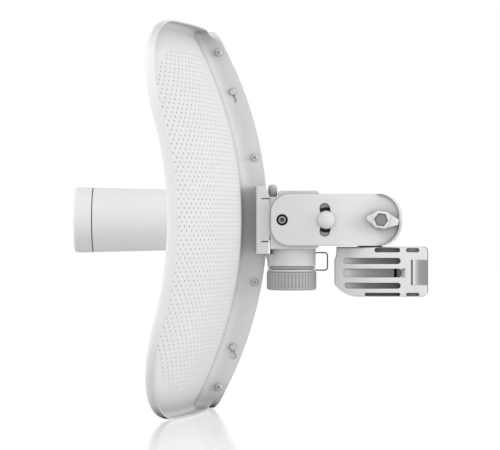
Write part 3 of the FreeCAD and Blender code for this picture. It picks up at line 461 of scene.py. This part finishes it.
def build_reflectors():
    near = reflector_half("dish_half_near", -1, NEAR_CORNER_X, NEAR_BULGE, True)
    far = reflector_half("dish_half_far", 1, FAR_CORNER_X, FAR_BULGE, False)
    for obj, node in ((near, "reflector_near"), (far, "reflector_far")):
        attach(obj, "radio_dish")
        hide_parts(node)
        obj.data.materials[0] = material("coated_sheet", "sheet")
        obj.data.materials[1] = material("coated_sheet", "cut_edge")


# ---------------------------------------------------------------- materials

# slot: (colour, roughness, metallic, grain scale, grain depth, edge rounding in mm, gloss)
FINISHES = {
    "coated_sheet": ((0.83, 0.83, 0.83), 0.62, 0.0, 900.0, 0.05, 0.3, 0.03),
    "glass_filled_white": ((0.84, 0.84, 0.84), 0.60, 0.0, 1400.0, 0.10, 0.9, 0.10),
    "white_plastic": ((0.83, 0.83, 0.83), 0.52, 0.0, 1600.0, 0.06, 0.5, 0.12),
    "grey_plastic": ((0.56, 0.56, 0.56), 0.55, 0.0, 1500.0, 0.08, 0.3, 0.12),
    "black_plastic": ((0.03, 0.03, 0.03), 0.50, 0.0, 1500.0, 0.06, 0.2, 0.15),
    "clear_plastic": ((0.85, 0.88, 0.90), 0.08, 0.0, 900.0, 0.01, 0.2, 0.5),
    "painted_bolt": ((0.84, 0.84, 0.84), 0.62, 0.0, 900.0, 0.04, 0.3, 0.10),
    "zinc_steel": ((0.36, 0.36, 0.36), 0.42, 0.8, 2200.0, 0.05, 0.15, 0.4),
    "tin_plate": ((0.65, 0.65, 0.66), 0.30, 1.0, 1200.0, 0.04, 0.2, 0.5),
    "bare_aluminium": ((0.72, 0.72, 0.73), 0.38, 1.0, 1600.0, 0.06, 0.2, 0.5),
    "gold_contact": ((0.80, 0.62, 0.25), 0.22, 1.0, 1200.0, 0.02, 0.1, 0.5),
    "grey_wire": ((0.22, 0.22, 0.22), 0.45, 0.0, 1500.0, 0.05, 0.1, 0.15),
    "seal_rubber": ((0.16, 0.16, 0.16), 0.70, 0.0, 1500.0, 0.10, 0.2, 0.15),
    "pale_seal": ((0.50, 0.50, 0.50), 0.65, 0.0, 1500.0, 0.10, 0.2, 0.12),
    "soft_pad": ((0.45, 0.50, 0.58), 0.75, 0.0, 900.0, 0.12, 0.3, 0.2),
    "board_laminate": ((0.03, 0.16, 0.07), 0.35, 0.0, 500.0, 0.05, 0.1, 0.4),
}

# Variants of a finish: (shade, power of the painted shade in recesses)
VARIANTS = {
    "plain": (1.0, 0.75),
    "cut_edge": (0.96, 0.2),
    "faint_painted_shade": (1.0, 0.3),
    "sheet": (1.0, 0.42),
    "bright": (2.0, 0.5),
    "light": (1.3, 0.3),
    "clamp": (1.0, 0.35),
}
NODE_VARIANTS = {
    "rear_housing": "faint_painted_shade",
    "saddle": "faint_painted_shade",
    "seam_screws": "bright",
    "alignment_studs": "bright",
    "pole_clamp": "clamp",
    "wing_knob": "faint_painted_shade",
    "lock_screw": "light",
}

# Painted shade: ambient occlusion darkens the base colour in recesses and between parts
PAINTED_SHADE_REACH = 16.0 * MM
PAINTED_SHADE_SAMPLES = 6
NOISE_RANGE = (0.3, 0.7)
PATCH_SCALE, PATCH_DETAIL = 22.0, 4.0
ROUGHER, SMOOTHER = 0.08, 0.06
DUST_SCALE, DUST_DETAIL = 9.0, 6.0
DUST_TONES = (0.955, 0.955, 0.945)
DUST_SHARE = 0.8
GRAIN_DETAIL = 2.0
GRAIN_HEIGHT = 0.2 * MM
EDGE_SAMPLES = 4

# Painted shade on the sheet as (distance in mm, tone), from the seam plane and from the dish's
# ends.
# It fades in where the face's x direction passes from the front of the dish to its tray side.
SEAM_SHADE_STOPS = ((0.0, 1.0), (4.5, 1.0), (9.0, 0.82), (15.0, 0.78), (26.0, 1.0))
END_SHADE_STOPS = ((0.0, 1.0), (1.5, 0.90), (7.0, 0.77), (11.0, 0.80), (30.0, 1.0))
TONE_REACH = 40.0
TRAY_FACING = (-0.6, -0.2)

# Painted shade: the clamp's near-side faces darken from the first y to the second
CLAMP_DEPTH = (-13.0 * MM, -2.0 * MM)
CLAMP_DEEP_SHADE = 0.38
NEAR_FACING = (-0.3, -0.7)


class Shading:
    """Adds linked shader nodes to one material or world."""

    def __init__(self, owner):
        owner.use_nodes = True
        self.nodes = owner.node_tree.nodes
        self.links = owner.node_tree.links

    def feed(self, socket, value):
        """Links another node's output to an input, or sets the input's value."""
        if isinstance(value, bpy.types.NodeSocket):
            self.links.new(value, socket)
        else:
            socket.default_value = value

    def add(self, kind, inputs, **settings):
        node = self.nodes.new("ShaderNode" + kind)
        for name, value in settings.items():
            setattr(node, name, value)
        for key, value in inputs.items():
            self.feed(node.inputs[key], value)
        return node

    def math(self, operation, a, b=0.0):
        return self.add("Math", {0: a, 1: b}, operation=operation).outputs["Value"]

    def remap(self, value, source, target):
        """Maps the source range to the target range, either end of which may be a socket."""
        ends = {"From Min": source[0], "From Max": source[1],
                "To Min": target[0], "To Max": target[1]}
        return self.add("MapRange", {"Value": value, **ends}).outputs["Result"]

    def part(self, vector, name):
        return self.add("SeparateXYZ", {0: vector}).outputs[name]

    def noise(self, place, scale, detail):
        inputs = {"Vector": place, "Scale": scale, "Detail": detail}
        return self.add("TexNoise", inputs).outputs["Fac"]

    def ramp(self, distance, tones):
        """A tone by distance in metres, from stops in millimetres."""
        node = self.add("ValToRGB", {"Fac": self.math("DIVIDE", distance, TONE_REACH * MM)})
        stops = node.color_ramp.elements
        for k, (mm, tone) in enumerate(tones):
            stop = stops[k] if k < 2 else stops.new(mm / TONE_REACH)
            stop.position = mm / TONE_REACH
            stop.color = (tone, tone, tone, 1)
        return node.outputs["Color"]

    def facing(self, name):
        return self.part(self.add("NewGeometry", {}).outputs["Normal"], name)


def fold_painted_shade(shading, place):
    """Painted shade that darkens the tray side of the sheet along its seam fold and its ends."""
    off_axis = shading.math("SUBTRACT", shading.part(place, "Z"), AXIS_Z)
    from_end = shading.math("SUBTRACT", HALF_Z, shading.math("ABSOLUTE", off_axis))
    from_seam = shading.math("ABSOLUTE", shading.part(place, "Y"))
    both = shading.math("MULTIPLY", shading.ramp(from_seam, SEAM_SHADE_STOPS),
                        shading.ramp(from_end, END_SHADE_STOPS))
    return shading.remap(shading.facing("X"), TRAY_FACING, (1.0, both))


def notch_painted_shade(shading, place):
    """Painted shade that darkens the clamp's near-side faces that lie deep in its notch."""
    deep = shading.remap(shading.part(place, "Y"), CLAMP_DEPTH, (1.0, CLAMP_DEEP_SHADE))
    return shading.remap(shading.facing("Y"), NEAR_FACING, (1.0, deep))


LOCAL_PAINTED_SHADES = {"sheet": fold_painted_shade, "clamp": notch_painted_shade}


def material(slot, variant="plain"):
    """One slot's finish: patchy roughness, dust, painted shade in recesses, grain and eased edges.
    """
    name = "_".join(("finish", slot, variant))
    if name in bpy.data.materials:
        return bpy.data.materials[name]
    colour, rough, metallic, grain, depth, rounding, gloss = FINISHES[slot]
    shade, painted_shade_power = VARIANTS[variant]
    clean = [c * shade for c in colour]
    dusty = [c * tone for c, tone in zip(clean, DUST_TONES)]
    mat = bpy.data.materials.new(name)
    shading = Shading(mat)
    place = shading.add("TexCoord", {}).outputs["Object"]
    patches = shading.noise(place, PATCH_SCALE, PATCH_DETAIL)
    roughness = shading.remap(patches, NOISE_RANGE, (rough - SMOOTHER, rough + ROUGHER))
    cloud = shading.noise(place, DUST_SCALE, DUST_DETAIL)
    dust = shading.remap(cloud, NOISE_RANGE, (0.0, DUST_SHARE))
    tint = shading.add("Mix", {}, data_type="RGBA")
    for key, value in ((0, dust), (6, (*clean, 1)), (7, (*dusty, 1))):
        shading.feed(tint.inputs[key], value)
    # Painted shade: ambient occlusion darkens the base colour in recesses and between parts
    recess = shading.add("AmbientOcclusion", {"Distance": PAINTED_SHADE_REACH}, samples=PAINTED_SHADE_SAMPLES)
    tone = shading.math("POWER", recess.outputs["AO"], painted_shade_power)
    # Painted shade along the sheet's fold and ends, and deep in the clamp's notch, for those
    # variants
    if variant in LOCAL_PAINTED_SHADES:
        tone = shading.math("MULTIPLY", tone, LOCAL_PAINTED_SHADES[variant](shading, place))
    darken = shading.add("Mix", {}, data_type="RGBA", blend_type="MULTIPLY")
    for key, value in ((0, 1.0), (6, tint.outputs[2]), (7, tone)):
        shading.feed(darken.inputs[key], value)
    edges = shading.add("Bevel", {"Radius": rounding * MM}, samples=EDGE_SAMPLES)
    bump = shading.add("Bump", {"Strength": depth, "Distance": GRAIN_HEIGHT,
                                "Height": shading.noise(place, grain, GRAIN_DETAIL),
                                "Normal": edges.outputs["Normal"]})
    shader = shading.nodes["Principled BSDF"]
    for key, value in (("Base Color", darken.outputs[2]), ("Roughness", roughness),
                       ("Metallic", metallic), ("Specular IOR Level", gloss),
                       ("Normal", bump.outputs["Normal"])):
        shading.feed(shader.inputs[key], value)
    return mat


def finish_cad_nodes():
    """Gives each carried-over CAD node its finish and smooth shading."""
    for part in frame["record"]["subparts"]:
        obj = frame["nodes"][part["node"]]
        obj.data.materials.clear()
        variant = NODE_VARIANTS.get(part["node"], "plain")
        obj.data.materials.append(material(part["material_slot"], variant))
        smooth(obj, CAD_SMOOTH)


# ---------------------------------------------------------------- stage

FLOOR_SIZE = 16.0
FLOOR_GAP = 0.4 * MM
FLOOR_LIGHT = 0.45
FLOOR_SHOWN = 1.26
FLOOR_ROUGHNESS = 0.10
FLOOR_REFLECTION = 0.5

# Brightness of the white tent, as seen and as a light: level with the object, and above it
TENT_SHOWN = 1.0
TENT_LEVEL = 1.28
TENT_ZENITH = 0.30

# Lights: (name, place, size, power in W)
LIGHTS = (
    ("left", (-1.5, -1.0, 1.6), 0.7, 20),
    ("right", (1.8, -0.5, 0.4), 0.9, 12),
)
LIGHT_TARGET = (-0.17, 0, 0.05)

CAMERA_PLACE = (-172.1 * MM, -2200 * MM, 41.7 * MM)
CAMERA_LENS = 176
CAMERA_SENSOR = 36


def studio_floor():
    """A plain pale floor that shows white to the camera, with a faint reflection."""
    low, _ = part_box("reflector_near")
    place = (low.x, 0, low.z - FLOOR_GAP)
    bpy.ops.mesh.primitive_plane_add(size=FLOOR_SIZE, location=place)
    floor = bpy.context.object
    floor.name = "studio_floor"
    mat = bpy.data.materials.new("studio_floor")
    shading = Shading(mat)
    shading.nodes.clear()
    seen = shading.add("LightPath", {}).outputs["Is Camera Ray"]
    strength = shading.remap(seen, (0.0, 1.0), (FLOOR_LIGHT, FLOOR_SHOWN))
    glow = shading.add("Emission", {"Strength": strength})
    gloss = shading.add("BsdfGlossy", {"Roughness": FLOOR_ROUGHNESS})
    mix = shading.add("MixShader", {"Fac": FLOOR_REFLECTION, 1: glow.outputs["Emission"],
                                    2: gloss.outputs["BSDF"]})
    shading.add("OutputMaterial", {"Surface": mix.outputs["Shader"]})
    floor.data.materials.append(mat)


def studio_world():
    """White to the camera and in reflections; as a light it dims towards the zenith."""
    world = bpy.data.worlds.new("studio")
    bpy.context.scene.world = world
    shading = Shading(world)
    direction = shading.add("TexCoord", {}).outputs["Generated"]
    height = shading.math("ABSOLUTE", shading.part(direction, "Z"))
    tent = shading.remap(height, (0.0, 1.0), (TENT_LEVEL, TENT_ZENITH))
    diffuse = shading.add("LightPath", {}).outputs["Is Diffuse Ray"]
    back = shading.nodes["Background"]
    shading.feed(back.inputs["Color"], (1, 1, 1, 1))
    shading.feed(back.inputs["Strength"], shading.remap(diffuse, (0.0, 1.0), (TENT_SHOWN, tent)))


def area_light(name, location, size, power):
    lamp = bpy.data.lights.new(name, "AREA")
    lamp.size = size
    lamp.energy = power
    obj = bpy.data.objects.new(name, lamp)
    bpy.context.scene.collection.objects.link(obj)
    obj.location = location
    aim = Vector(LIGHT_TARGET) - Vector(location)
    obj.rotation_euler = aim.to_track_quat("-Z", "Y").to_euler()


def studio():
    """Floor, tent, lights, and the camera at the photo's viewing angle."""
    studio_floor()
    studio_world()
    for light in LIGHTS:
        area_light(*light)
    scene = bpy.context.scene
    scene.view_settings.view_transform = "Standard"
    camera = bpy.data.objects.new("camera", bpy.data.cameras.new("camera"))
    scene.collection.objects.link(camera)
    camera.data.lens = CAMERA_LENS
    camera.data.sensor_width = CAMERA_SENSOR
    camera.location = CAMERA_PLACE
    camera.rotation_euler = (math.radians(90), 0, 0)
    scene.camera = camera


finish_cad_nodes()
build_reflectors()
studio()
